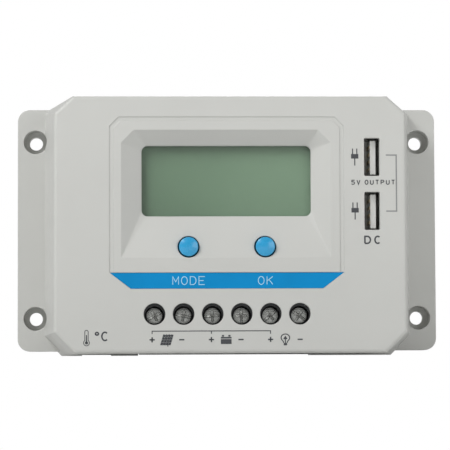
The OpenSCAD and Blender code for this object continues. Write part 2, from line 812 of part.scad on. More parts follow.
front_cover();
back_plate();
label_strip();
display_window();
lcd_glass();
lcd_backlight();
lcd_carrier();
control_board();
control_screws();
button(button_x[0]);  // mode_button
button(button_x[1]);  // ok_button
plunger(button_x[0]);  // mode_plunger
plunger(button_x[1]);  // ok_plunger
switch_bodies();
usb_shell(usb_y[0]);  // usb_shell_upper
usb_shell(usb_y[1]);  // usb_shell_lower
usb_tongues();
usb_contacts();
board_header();
header_pins();
main_board();
board_spacers();
board_screws();
cover_screws();
mosfet_packages();
mosfet_tabs();
mosfet_screws();
insulating_pads();
capacitors();
inductor_core();
inductor_winding();
controller_chip();
driver_chips();
current_shunt();
terminal_block();
terminal_bars();
sensor_socket();
sensor_pins();
terminal_screw(0);  // terminal_screw_1
terminal_screw(1);  // terminal_screw_2
terminal_screw(2);  // terminal_screw_3
terminal_screw(3);  // terminal_screw_4
terminal_screw(4);  // terminal_screw_5
terminal_screw(5);  // terminal_screw_6
terminal_cage(0);  // terminal_cage_1
terminal_cage(1);  // terminal_cage_2
terminal_cage(2);  // terminal_cage_3
terminal_cage(3);  // terminal_cage_4
terminal_cage(4);  // terminal_cage_5
terminal_cage(5);  // terminal_cage_6
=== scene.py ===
"""Looks of a wall-mounted solar charge controller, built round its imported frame.

The frame gives every place and size: x runs to the right, the front panel faces -Y and +Z is up.
Each sub-assembly is a class that builds its meshes and dresses them; each finish is a frozen dataclass
that makes one node material. Lengths in the sub-assemblies and the prints are millimetres and become
metres in the meshes; lengths in the finishes, the floor and the lamps are metres.
"""

import json
import logging
import math
from dataclasses import dataclass, field
from enum import Enum

import bmesh
import bpy
import numpy as np
from mathutils import Matrix, Vector


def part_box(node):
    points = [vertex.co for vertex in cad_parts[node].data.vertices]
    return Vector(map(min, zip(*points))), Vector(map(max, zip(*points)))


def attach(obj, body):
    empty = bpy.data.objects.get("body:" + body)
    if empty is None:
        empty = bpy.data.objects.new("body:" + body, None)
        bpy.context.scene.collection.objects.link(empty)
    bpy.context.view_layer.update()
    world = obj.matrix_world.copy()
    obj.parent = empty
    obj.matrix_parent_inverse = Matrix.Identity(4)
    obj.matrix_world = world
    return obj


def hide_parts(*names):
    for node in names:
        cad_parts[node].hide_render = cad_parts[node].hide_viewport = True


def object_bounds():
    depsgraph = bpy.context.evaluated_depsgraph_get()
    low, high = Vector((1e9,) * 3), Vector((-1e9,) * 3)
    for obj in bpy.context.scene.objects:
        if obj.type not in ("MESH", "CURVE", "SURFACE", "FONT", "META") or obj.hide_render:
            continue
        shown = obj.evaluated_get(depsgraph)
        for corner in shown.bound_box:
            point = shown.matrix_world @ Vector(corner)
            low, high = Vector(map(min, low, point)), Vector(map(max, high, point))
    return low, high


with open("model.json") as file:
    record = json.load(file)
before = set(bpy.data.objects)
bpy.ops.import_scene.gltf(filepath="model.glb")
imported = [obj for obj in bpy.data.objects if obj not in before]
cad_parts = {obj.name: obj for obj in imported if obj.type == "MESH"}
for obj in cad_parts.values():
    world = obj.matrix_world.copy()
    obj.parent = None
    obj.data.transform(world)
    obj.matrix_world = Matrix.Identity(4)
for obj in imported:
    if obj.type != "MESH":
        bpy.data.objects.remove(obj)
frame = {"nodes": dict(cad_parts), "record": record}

CAD_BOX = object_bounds()
MM = 0.001
TONE_LOW, TONE_HIGH = 0.3, 0.7  # a noise's values mostly lie between these
Colour = tuple[float, float, float]
Socket = bpy.types.NodeSocket
LOG = logging.getLogger("charge_controller")


# ---------------------------------------------------------------- node helpers and shared effects


class Nodes:
    """A node tree with short ways to add nodes and to join them."""

    def __init__(self, tree: bpy.types.NodeTree) -> None:
        """Works on tree, which is emptied first."""
        self.tree = tree
        tree.nodes.clear()

    def add(self, kind: str, **settings: object) -> bpy.types.Node:
        """Adds a node.

        Args:
            kind: the node's type name.
            settings: properties of the node, set by name.

        Returns:
            The new node.
        """
        node = self.tree.nodes.new(kind)
        for name, value in settings.items():
            setattr(node, name, value)
        return node

    def join(self, source: Socket, target: Socket) -> None:
        """Links an output to an input."""
        self.tree.links.new(source, target)

    def maths(self, operation: str, a: object, b: object = 0.0) -> Socket:
        """Adds a Math node.

        Args:
            operation: Blender's name of the operation.
            a: first input, a socket or a number.
            b: second input, a socket or a number.

        Returns:
            The node's output.
        """
        node = self.add("ShaderNodeMath", operation=operation)
        for place, value in enumerate((a, b)):
            if isinstance(value, Socket):
                self.join(value, node.inputs[place])
            else:
                node.inputs[place].default_value = value
        return node.outputs[0]

    def ramp(
        self, value: Socket, low: float, high: float, to_low: float = 0.0, to_high: float = 1.0
    ) -> Socket:
        """Maps value from low..high to to_low..to_high, with its ends held."""
        node = self.add("ShaderNodeMapRange")
        self.join(value, node.inputs["Value"])
        ends = {"From Min": low, "From Max": high, "To Min": to_low, "To Max": to_high}
        for name, number in ends.items():
            node.inputs[name].default_value = number
        return node.outputs["Result"]

    def mix(self, factor: Socket, first: object, second: object) -> Socket:
        """Mixes two colours, each a socket or three numbers, and returns the mixed colour."""
        node = self.add("ShaderNodeMix", data_type="RGBA")
        self.join(factor, node.inputs["Factor"])
        for name, value in (("A", first), ("B", second)):
            socket = next(s for s in node.inputs if s.name == name and s.type == "RGBA")
            if isinstance(value, Socket):
                self.join(value, socket)
            else:
                socket.default_value = (*value, 1.0)
        return next(s for s in node.outputs if s.type == "RGBA")

    def noise(self, vector: Socket, scale: object, detail: float = 3.0, rough: float = 0.5) -> Socket:
        """Adds a noise texture and returns its value; scale is a socket or a number."""
        node = self.add("ShaderNodeTexNoise")
        self.join(vector, node.inputs["Vector"])
        node.inputs["Detail"].default_value = detail
        node.inputs["Roughness"].default_value = rough
        if isinstance(scale, Socket):
            self.join(scale, node.inputs["Scale"])
        else:
            node.inputs["Scale"].default_value = scale
        return node.outputs["Fac"]


def new_group(
    name: str, takes: dict[str, float | None], gives: tuple[str, ...]
) -> tuple[bpy.types.NodeTree, Nodes, bpy.types.Node, bpy.types.Node]:
    """Starts a shader node group.

    Args:
        name: the group's name.
        takes: its inputs with their usual values; None stands for a vector input.
        gives: names of its outputs, all of them single values.

    Returns:
        The group, its Nodes, and its input and output nodes.
    """
    group = bpy.data.node_groups.new(name, "ShaderNodeTree")
    for label, usual in takes.items():
        kind = "NodeSocketVector" if usual is None else "NodeSocketFloat"
        socket = group.interface.new_socket(label, in_out="INPUT", socket_type=kind)
        if usual is not None:
            socket.default_value = usual
    for label in gives:
        group.interface.new_socket(label, in_out="OUTPUT", socket_type="NodeSocketFloat")
    nodes = Nodes(group)
    return group, nodes, nodes.add("NodeGroupInput"), nodes.add("NodeGroupOutput")


def build_grain_group() -> bpy.types.NodeTree:
    """Spark-eroded mould texture: fine noise plus rounded cells as Height, and a slow drift as Tone."""
    group, nodes, given, out = new_group(
        "mould_grain", {"Vector": None, "Scale": 1800.0, "Drift": 25.0}, ("Height", "Tone")
    )
    fine = nodes.noise(given.outputs["Vector"], given.outputs["Scale"], 2.0, 0.6)
    cells = nodes.add("ShaderNodeTexVoronoi", feature="SMOOTH_F1")
    nodes.join(given.outputs["Vector"], cells.inputs["Vector"])
    nodes.join(given.outputs["Scale"], cells.inputs["Scale"])
    nodes.join(nodes.maths("ADD", fine, cells.outputs["Distance"]), out.inputs["Height"])
    drift = nodes.noise(given.outputs["Vector"], given.outputs["Drift"], 4.0, 0.55)
    nodes.join(drift, out.inputs["Tone"])
    return group


def build_edge_wear_and_glint_group() -> bpy.types.NodeTree:
    """Edge mask: where a rounded normal leaves the true one, broken up by noise, as Mask. Finishes
    lighten their edges with it as rubbed wear; on the terminal screws it also lays painted glints.
    """
    group, nodes, given, out = new_group(
        "edge_wear_and_glint", {"Vector": None, "Scale": 900.0, "Reach": 0.0004}, ("Mask",)
    )
    rounded = nodes.add("ShaderNodeBevel", samples=4)
    nodes.join(given.outputs["Reach"], rounded.inputs["Radius"])
    true = nodes.add("ShaderNodeNewGeometry")
    along = nodes.add("ShaderNodeVectorMath", operation="DOT_PRODUCT")
    nodes.join(rounded.outputs["Normal"], along.inputs[0])
    nodes.join(true.outputs["Normal"], along.inputs[1])
    bent = nodes.ramp(along.outputs["Value"], 0.995, 0.80)
    patches = nodes.noise(given.outputs["Vector"], given.outputs["Scale"], 4.0, 0.65)
    broken = nodes.ramp(patches, 0.35, 0.65)
    nodes.join(nodes.maths("MULTIPLY", bent, broken), out.inputs["Mask"])
    return group


def build_smudge_group() -> bpy.types.NodeTree:
    """Handling marks: two sizes of soft noise, multiplied and stretched in range, as Mask."""
    group, nodes, given, out = new_group("handling_smudges", {"Vector": None, "Scale": 60.0}, ("Mask",))
    finer = nodes.maths("MULTIPLY", given.outputs["Scale"], 7.0)
    broad = nodes.noise(given.outputs["Vector"], given.outputs["Scale"], 5.0, 0.6)
    small = nodes.noise(given.outputs["Vector"], finer, 3.0, 0.5)
    nodes.join(nodes.ramp(nodes.maths("MULTIPLY", broad, small), 0.12, 0.38), out.inputs["Mask"])
    return group


def build_brushing_group() -> bpy.types.NodeTree:
    """Brushed or drawn metal: noise squeezed across one direction as Height, its slow part as Tone."""
    group, nodes, given, out = new_group(
        "brushed_lines", {"Vector": None, "Scale": 90.0, "Stretch": 30.0}, ("Height", "Tone")
    )
    split = nodes.add("ShaderNodeSeparateXYZ")
    nodes.join(given.outputs["Vector"], split.inputs[0])
    gathered = nodes.add("ShaderNodeCombineXYZ")
    nodes.join(split.outputs["X"], gathered.inputs["X"])
    for axis in ("Y", "Z"):
        squeezed = nodes.maths("MULTIPLY", split.outputs[axis], given.outputs["Stretch"])
        nodes.join(squeezed, gathered.inputs[axis])
    nodes.join(nodes.noise(gathered.outputs[0], given.outputs["Scale"], 5.0, 0.7), out.inputs["Height"])
    nodes.join(nodes.noise(gathered.outputs[0], 12.0, 2.0, 0.5), out.inputs["Tone"])
    return group


GROUPS = {
    "grain": build_grain_group(),
    "edge_mask": build_edge_wear_and_glint_group(),
    "smudges": build_smudge_group(),
    "brushing": build_brushing_group(),
}


# ---------------------------------------------------------------- finishes


class Surface:
    """A material under construction: its nodes, its Principled shader and its object coordinates."""

    def __init__(self, name: str) -> None:
        """Starts the material called name."""
        self.material = bpy.data.materials.new(name)
        self.material.use_nodes = True
        self.nodes = Nodes(self.material.node_tree)
        self.out = self.nodes.add("ShaderNodeOutputMaterial")
        self.shader = self.nodes.add("ShaderNodeBsdfPrincipled")
        self.nodes.join(self.shader.outputs["BSDF"], self.out.inputs["Surface"])
        self.place = self.nodes.add("ShaderNodeTexCoord").outputs["Object"]

    def effect(self, group: str, **values: float) -> bpy.types.Node:
        """Places a shared effect.

        Args:
            group: its key in GROUPS.
            values: numbers for its inputs, by name.

        Returns:
            The group node.
        """
        node = self.nodes.add("ShaderNodeGroup", node_tree=GROUPS[group])
        self.nodes.join(self.place, node.inputs["Vector"])
        for name, value in values.items():
            node.inputs[name].default_value = value
        return node

    def set(self, **values: object) -> None:
        """Sets the Principled shader's own sockets; underscores in a name stand for spaces."""
        for name, value in values.items():
            self.shader.inputs[name.replace("_", " ")].default_value = value

    def tone(self, group: bpy.types.Node, low: object, high: object) -> Socket:
        """A group's Tone turned into a number or a colour between low and high."""
        if isinstance(low, float):
            return self.nodes.ramp(group.outputs["Tone"], TONE_LOW, TONE_HIGH, low, high)
        return self.nodes.mix(self.nodes.ramp(group.outputs["Tone"], TONE_LOW, TONE_HIGH), low, high)

    def bump(self, height: Socket, depth: float, rounding: float = 0.0) -> None:
        """Bumps the surface by height times depth, over edges that are shaded as rounded.

        Args:
            height: the bump's height, about 0 to 1.
            depth: how deep a height of 1 is, in metres.
            rounding: radius of the rounded edges in metres, or 0 for edges left as they are.
        """
        bump = self.nodes.add("ShaderNodeBump")
        bump.inputs["Distance"].default_value = depth
        self.nodes.join(height, bump.inputs["Height"])
        if rounding:
            rounded = self.nodes.add("ShaderNodeBevel", samples=8)
            rounded.inputs["Radius"].default_value = rounding
            self.nodes.join(rounded.outputs["Normal"], bump.inputs["Normal"])
        self.nodes.join(bump.outputs["Normal"], self.shader.inputs["Normal"])


@dataclass(frozen=True)
class MouldedPlastic:
    """Injection-moulded plastic with a fine eroded texture, handling marks and paler edges."""

    colour: Colour
    edge_colour: Colour
    roughness: float = 0.5
    grain_depth: float = 0.00001
    grain_scale: float = 1800.0
    drift: float = 0.05
    edge_reach: float = 0.0004
    edge_amount: float = 0.5
    rounding: float = 0.0002
    coat: float = 0.0

    def build(self, name: str) -> bpy.types.Material:
        """Makes the material called name and returns it."""
        s = Surface(name)
        n = s.nodes
        grain = s.effect("grain", Scale=self.grain_scale)
        edge_mask = s.effect("edge_mask", Reach=self.edge_reach)
        smudges = s.effect("smudges")
        darker = tuple(c * (1.0 - self.drift) for c in self.colour)
        lighter = tuple(min(1.0, c * (1.0 + self.drift)) for c in self.colour)
        toned = s.tone(grain, darker, lighter)
        n.join(
            n.mix(n.maths("MULTIPLY", edge_mask.outputs["Mask"], self.edge_amount), toned, self.edge_colour),
            s.shader.inputs["Base Color"],
        )
        rough = n.ramp(smudges.outputs["Mask"], 0.0, 1.0, self.roughness + 0.05, self.roughness - 0.07)
        n.join(rough, s.shader.inputs["Roughness"])
        s.set(IOR=1.53, Coat_Weight=self.coat, Coat_Roughness=0.15)
        s.bump(grain.outputs["Height"], self.grain_depth, self.rounding)
        return s.material


@dataclass(frozen=True)
class PlatedMetal:
    """Plated or bare metal: brushed or drawn lines, blurred smudges and paler edges, which are rubbed
    wear and, in the terminal screws' finish, also painted glints.
    """

    colour: Colour
    edge_colour: Colour
    roughness: float = 0.28
    spread: float = 0.12
    line_scale: float = 90.0
    stretch: float = 30.0
    line_depth: float = 0.000006
    edge_reach: float = 0.0003
    edge_amount: float = 0.6

    def build(self, name: str) -> bpy.types.Material:
        """Makes the material called name and returns it."""
        s = Surface(name)
        n = s.nodes
        lines = s.effect("brushing", Scale=self.line_scale, Stretch=self.stretch)
        edge_mask = s.effect("edge_mask", Reach=self.edge_reach)
        smudges = s.effect("smudges", Scale=140.0)
        darker = tuple(c * 0.82 for c in self.colour)
        toned = s.tone(lines, darker, self.colour)
        # Paler edges: rubbed wear, and where the edge colour is near white, painted glints.
        n.join(
            n.mix(n.maths("MULTIPLY", edge_mask.outputs["Mask"], self.edge_amount), toned, self.edge_colour),
            s.shader.inputs["Base Color"],
        )
        rough = n.ramp(smudges.outputs["Mask"], 0.0, 1.0, self.roughness, self.roughness + self.spread)
        n.join(rough, s.shader.inputs["Roughness"])
        s.set(Metallic=1.0)
        s.bump(lines.outputs["Height"], self.line_depth)
        return s.material


@dataclass(frozen=True)
class PrintedFilm:
    """Printed film or ink: even colour with faint screen-print mottle, under a satin varnish."""

    colour: Colour
    mottle: float = 0.08
    roughness: float = 0.38
    coat: float = 0.25
    shine: float = 0.5

    def build(self, name: str) -> bpy.types.Material:
        """Makes the material called name and returns it."""
        s = Surface(name)
        n = s.nodes
        grain = s.effect("grain", Scale=2600.0, Drift=45.0)
        smudges = s.effect("smudges", Scale=80.0)
        darker = tuple(c * (1.0 - self.mottle) for c in self.colour)
        lighter = tuple(min(1.0, c * (1.0 + self.mottle)) for c in self.colour)
        n.join(s.tone(grain, darker, lighter), s.shader.inputs["Base Color"])
        rough = n.ramp(smudges.outputs["Mask"], 0.0, 1.0, self.roughness + 0.06, self.roughness - 0.06)
        n.join(rough, s.shader.inputs["Roughness"])
        s.set(Coat_Weight=self.coat, Coat_Roughness=0.2, Specular_IOR_Level=self.shine)
        s.bump(grain.outputs["Height"], 0.000004)
        return s.material


@dataclass(frozen=True)
class ClearPane:
    """Clear acrylic: glass that lets lamp light through, with faint wipe marks in its gloss."""

    tint: Colour
    roughness: float = 0.03

    def build(self, name: str) -> bpy.types.Material:
        """Makes the material called name and returns it."""
        s = Surface(name)
        n = s.nodes
        smudges = s.effect("smudges", Scale=50.0)
        n.join(
            n.ramp(smudges.outputs["Mask"], 0.0, 1.0, self.roughness, self.roughness + 0.05),
            s.shader.inputs["Roughness"],
        )
        s.set(Base_Color=(*self.tint, 1.0), IOR=1.49, Transmission_Weight=1.0)
        clear = n.add("ShaderNodeBsdfTransparent")
        clear.inputs["Color"].default_value = (*self.tint, 1.0)
        rays = n.add("ShaderNodeLightPath")
        either = n.add("ShaderNodeMixShader")
        n.join(rays.outputs["Is Shadow Ray"], either.inputs["Fac"])
        n.join(s.shader.outputs["BSDF"], either.inputs[1])
        n.join(clear.outputs["BSDF"], either.inputs[2])
        n.join(either.outputs["Shader"], s.out.inputs["Surface"])
        return s.material


@dataclass(frozen=True)
class CrystalCell:
    """Liquid-crystal glass at rest: grey-green with a fine weave, and painted light that makes it
    lighter to the upper right and darker to the lower left.
    """

    colour: Colour
    # lighter is the painted lit colour that the glass takes towards the upper right.
    lighter: Colour
    x_span: tuple[float, float] = (-0.030, 0.028)
    z_span: tuple[float, float] = (0.0, 0.028)

    def build(self, name: str) -> bpy.types.Material:
        """Makes the material called name and returns it."""
        s = Surface(name)
        n = s.nodes
        grain = s.effect("grain", Scale=900.0, Drift=18.0)
        split = n.add("ShaderNodeSeparateXYZ")
        n.join(s.place, split.inputs[0])
        # Painted light: the colour is lifted from left to right and from bottom to top, plus random tone
        # from the grain.
        across = n.ramp(split.outputs["X"], *self.x_span, 0.0, 0.55)
        painted_light_upward = n.ramp(split.outputs["Z"], *self.z_span, 0.0, 0.45)
        painted_light_and_tone = n.maths("ADD", n.maths("ADD", across, painted_light_upward), s.tone(grain, -0.12, 0.12))
        n.join(n.mix(painted_light_and_tone, self.colour, self.lighter), s.shader.inputs["Base Color"])
        n.join(s.tone(grain, 0.30, 0.42), s.shader.inputs["Roughness"])
        s.set(IOR=1.5)
        s.bump(grain.outputs["Height"], 0.000002)
        return s.material


@dataclass(frozen=True)
class BoardLacquer:
    """Green solder mask: faint copper tracks showing through as darker and lighter lines."""

    colour: Colour
    track: Colour
    track_scale: float = 260.0

    def build(self, name: str) -> bpy.types.Material:
        """Makes the material called name and returns it."""
        s = Surface(name)
        n = s.nodes
        grain = s.effect("grain", Scale=2200.0)
        cells = n.add("ShaderNodeTexVoronoi", feature="DISTANCE_TO_EDGE", distance="MANHATTAN")
        n.join(s.place, cells.inputs["Vector"])
        cells.inputs["Scale"].default_value = self.track_scale
        track = n.ramp(cells.outputs["Distance"], 0.04, 0.09, 1.0, 0.0)
        n.join(n.mix(track, self.colour, self.track), s.shader.inputs["Base Color"])
        n.join(s.tone(grain, 0.26, 0.36), s.shader.inputs["Roughness"])
        s.set(Coat_Weight=0.3, Coat_Roughness=0.12)
        s.bump(n.maths("ADD", track, n.maths("MULTIPLY", grain.outputs["Height"], 0.1)), 0.00002)
        return s.material


@dataclass(frozen=True)
class StageFloor:
    """Pale floor that is only there from above, and that glows to white far from the object."""

    colour: Colour
    near: float = 0.3
    far: float = 1.6
    glow: float = 0.8

    def build(self, name: str) -> bpy.types.Material:
        """Makes the material called name and returns it."""
        s = Surface(name)
        n = s.nodes
        n.join(
            n.mix(n.noise(s.place, 6.0, 3.0), tuple(c * 0.98 for c in self.colour), self.colour),
            s.shader.inputs["Base Color"],
        )
        away = n.add("ShaderNodeVectorMath", operation="LENGTH")
        n.join(s.place, away.inputs[0])
        fade = n.ramp(away.outputs["Value"], self.near, self.far)
        n.join(n.mix(fade, (0.0, 0.0, 0.0), (self.glow,) * 3), s.shader.inputs["Emission Color"])
        s.set(Roughness=0.9, Emission_Strength=1.0)
        side = n.add("ShaderNodeNewGeometry")
        clear = n.add("ShaderNodeBsdfTransparent")
        either = n.add("ShaderNodeMixShader")
        n.join(side.outputs["Backfacing"], either.inputs["Fac"])
        n.join(s.shader.outputs["BSDF"], either.inputs[1])
        n.join(clear.outputs["BSDF"], either.inputs[2])
        n.join(either.outputs["Shader"], s.out.inputs["Surface"])
        return s.material


FINISHES = {
    "housing_plastic": MouldedPlastic(
        (0.565, 0.568, 0.545),
        (0.70, 0.70, 0.68),
        roughness=0.46,
        drift=0.018,
        edge_amount=0.35,
        rounding=0.00045,
    ),
    "back_metal": PlatedMetal(
        (0.72, 0.73, 0.74), (0.86, 0.86, 0.86), roughness=0.34, line_scale=120.0
    ),
    "label_blue": PrintedFilm((0.003, 0.255, 0.58), roughness=0.5, coat=0.0, shine=0.12),
    "window_clear": ClearPane((0.93, 0.97, 0.94)),
    # LCD: the second colour is painted light at the upper right of the display.
    "lcd_green": CrystalCell((0.108, 0.165, 0.112), (0.20, 0.28, 0.20)),
    "backlight_white": MouldedPlastic(
        (0.80, 0.83, 0.76), (0.85, 0.87, 0.82), roughness=0.3, drift=0.02
    ),
    "carrier_white": MouldedPlastic(
        (0.82, 0.82, 0.80), (0.88, 0.88, 0.87), roughness=0.42, drift=0.02
    ),
    "board_green": BoardLacquer((0.015, 0.11, 0.05), (0.03, 0.19, 0.08)),
    "button_blue": MouldedPlastic(
        (0.012, 0.33, 0.63),
        (0.08, 0.42, 0.72),
        roughness=0.3,
        drift=0.04,
        grain_depth=0.000003,
        coat=0.6,
    ),
    "black_plastic": MouldedPlastic(
        (0.016, 0.016, 0.018), (0.06, 0.06, 0.065), roughness=0.45, drift=0.15
    ),
    # Terminal screws: the near-white edge colour, laid on strongly, paints glints along the head rims as
    # well as rubbed plating.
    "plated_steel": PlatedMetal(
        (0.55, 0.56, 0.54), (0.95, 0.96, 0.94), roughness=0.1, line_depth=0.00009, edge_amount=0.9
    ),
    "cage_steel": PlatedMetal((0.70, 0.70, 0.68), (0.86, 0.86, 0.84), roughness=0.32),
    "contact_brass": PlatedMetal((0.62, 0.52, 0.34), (0.84, 0.75, 0.55), roughness=0.3),
    "pad_grey": MouldedPlastic((0.38, 0.42, 0.46), (0.44, 0.48, 0.52), roughness=0.7, drift=0.06),
    "capacitor_sleeve": MouldedPlastic(
        (0.02, 0.035, 0.07), (0.06, 0.08, 0.12), roughness=0.28, drift=0.1, coat=0.3
    ),
    "ferrite": MouldedPlastic((0.05, 0.05, 0.055), (0.11, 0.11, 0.12), roughness=0.55, drift=0.2),
    "copper_wire": PlatedMetal((0.62, 0.26, 0.11), (0.80, 0.45, 0.25), roughness=0.22),
    "terminal_plastic": MouldedPlastic(
        (0.022, 0.024, 0.027), (0.07, 0.07, 0.075), roughness=0.4, drift=0.12
    ),
    "socket_green": MouldedPlastic(
        (0.025, 0.20, 0.06), (0.09, 0.32, 0.13), roughness=0.4, drift=0.08
    ),
}
EXTRA_FINISHES = {
    "ink_grey": PrintedFilm((0.055, 0.058, 0.065), roughness=0.5, coat=0.0),
    "ink_pale": PrintedFilm((0.25, 0.255, 0.255), roughness=0.5, coat=0.0),
    "ink_white": PrintedFilm((0.42, 0.70, 0.84), roughness=0.45, coat=0.0),
}


class Workshop:
    """Hands out each finish's material, made once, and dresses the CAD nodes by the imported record."""

    def __init__(self) -> None:
        """Builds every material."""
        finishes = {**FINISHES, **EXTRA_FINISHES}
        self.materials = {name: finish.build(name) for name, finish in finishes.items()}

    def dress(self, piece: bpy.types.Object, finish: str) -> None:
        """Gives piece the material called finish in all its slots."""
        if not piece.material_slots:
            piece.data.materials.append(self.materials[finish])
        for slot in piece.material_slots:
            slot.material = self.materials[finish]

    def dress_frame(self) -> None:
        """Gives every CAD node the finish that the record names for it."""
        for part in frame["record"]["subparts"]:
            self.dress(frame["nodes"][part["node"]], part["material_slot"])
            LOG.info("CAD node %s wears %s", part["node"], part["material_slot"])

    def finish_piece(
        self, piece: bpy.types.Object, body: str, slot: str, finish: str | None = None
    ) -> None:
        """Dresses a new piece and puts it on its body.

        Args:
            piece: the new object, in place.
            body: the CAD body that it moves with.
            slot: the record's material slot that it takes its finish from.
            finish: the finish where it isn't the slot's own.
        """
        self.dress(piece, finish or slot)
        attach(piece, body)
        LOG.info("piece %s on %s, %d faces", piece.name, body, len(piece.data.polygons))


# ---------------------------------------------------------------- mesh helpers


def panel_points(x: object, z: object, depth: object) -> np.ndarray:
    """Puts places on the panel, in millimetres, into the frame, as (x, -depth, z) in metres.

    Args:
        x: places to the right, an array or a number.
        z: places up, an array or a number.
        depth: distances from the wall towards the front, an array or a number.

    Returns:
        One row of x, y, z for each place.
    """
    x, z, depth = np.broadcast_arrays(x, z, depth)
    return np.stack([x, -depth, z], axis=-1).reshape(-1, 3) * MM


def node_middle(node: str) -> tuple[float, float]:
    """The middle of a CAD node on the panel, (x, z) in millimetres."""
    low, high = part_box(node)
    return (low.x + high.x) / 2 / MM, (low.z + high.z) / 2 / MM


def add_mesh(
    name: str, points: np.ndarray, faces: list[np.ndarray], smooth: bool = True
) -> bpy.types.Object:
    """Makes an object from points and faces.

    Args:
        name: the piece's name.
        points: one row of x, y, z for each vertex, in metres.
        faces: arrays of quads or triangles, one row of vertex numbers each.
        smooth: whether the faces are shaded smooth.

    Returns:
        The new object, linked to the scene.
    """
    mesh = bpy.data.meshes.new(name)
    rows = [row for array in faces for row in array.tolist()]
    mesh.from_pydata(points.tolist(), [], rows)
    mesh.polygons.foreach_set("use_smooth", np.full(len(rows), smooth))
    mesh.update()
    piece = bpy.data.objects.new(name, mesh)
    bpy.context.scene.collection.objects.link(piece)
    return piece


def tube_faces(rings: int, around: int, first: int = 0) -> np.ndarray:
    """Quads between neighbouring rings: vertex (i, j) is first + i * around + j, and j wraps round."""
    i, j = np.meshgrid(np.arange(rings - 1), np.arange(around), indexing="ij")
    a = first + i * around + j
    b = first + i * around + (j + 1) % around
    return np.stack([a, b, b + around, a + around], axis=-1).reshape(-1, 4)


def fan_faces(pole: int, ring: int, around: int, outward: bool) -> np.ndarray:
    """Triangles from vertex pole to the ring that starts at vertex ring, turned one way or the other."""
    j = np.arange(around)
    a, b = ring + j, ring + (j + 1) % around
    pair = (b, a) if outward else (a, b)
    return np.stack([np.full(around, pole), *pair], axis=-1)


def face_outwards(piece: bpy.types.Object) -> None:
    """Merges doubled vertices and turns all faces of a closed mesh outwards."""
    work = bmesh.new()
    work.from_mesh(piece.data)
    bmesh.ops.remove_doubles(work, verts=work.verts, dist=1e-7)
    bmesh.ops.recalc_face_normals(work, faces=work.faces)
    work.to_mesh(piece.data)
    work.free()


# ---------------------------------------------------------------- sub-assemblies


@dataclass
class PushButton:
    """A round push button with a domed cap, a skirt, a retaining flange and a stem."""

    node: str
    body: str
    cap_r: float = 3.15
    edge_r: float = 0.45
    dome: float = 0.55
    flange_r: float = 4.1
    stem_r: float = 1.5
    flange_top: float = 6.2
    flange_t: float = 0.9
    flange_cut: float = 0.1
    pole_r: float = 0.06
    stem_end: float = 11.1
    around: int = 96
    edge_rings: int = 9
    dome_rings: int = 22

    def profile(self, top: float) -> np.ndarray:
        """Profile of (radius, depth) pairs: stem, flange, skirt, a quarter circle, then a parabola.

        Args:
            top: depth of the cap's middle in millimetres.

        Returns:
            One row for each ring.
        """
        turn = np.linspace(0.0, math.pi / 2, self.edge_rings)
        rim, flat_r = top - self.dome, self.cap_r - self.edge_r
        edge_r = flat_r + self.edge_r * np.cos(turn)
        edge = np.stack([edge_r, rim - self.edge_r * (1 - np.sin(turn))], axis=-1)
        inner = np.linspace(flat_r, self.pole_r, self.dome_rings)[1:]
        domed = np.stack([inner, top - self.dome * (inner / flat_r) ** 2], axis=-1)
        flange = top - self.flange_top
        under, cut = flange - self.flange_t, self.flange_cut
        stem = np.array(
            [
                [self.stem_r, top - self.stem_end],
                [self.stem_r, under],
                [self.flange_r - cut, under],
                [self.flange_r, under + cut],
                [self.flange_r, flange - cut],
                [self.flange_r - cut, flange],
                [self.cap_r, flange],
            ]
        )
        return np.concatenate([stem, edge, domed])

    def build(self, shop: Workshop) -> None:
        """Turns the profile about the button's axis, closes both poles and dresses the cap."""
        x, z = node_middle(self.node)
        rings = self.profile(-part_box(self.node)[0].y / MM)
        angle = np.linspace(0.0, 2 * math.pi, self.around, endpoint=False)
        grid = panel_points(
            x + rings[:, :1] * np.cos(angle), z + rings[:, :1] * np.sin(angle), rings[:, 1:]
        )
        poles = panel_points(x, z, rings[[0, -1], 1])
        count = len(grid)
        faces = [
            tube_faces(len(rings), self.around),
            fan_faces(count, 0, self.around, True),
            fan_faces(count + 1, count - self.around, self.around, False),
        ]
        piece = add_mesh(f"{self.node}_cap", np.concatenate([grid, poles]), faces)
        face_outwards(piece)
        piece.modifiers.new("flat_faces", "WEIGHTED_NORMAL").weight = 60
        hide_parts(self.node)
        shop.finish_piece(piece, self.body, "button_blue")


SCREW_TURNS = (28.0, -12.0, 3.0, 90.0, 40.0, -35.0)  # how each screw's slot lies, in degrees


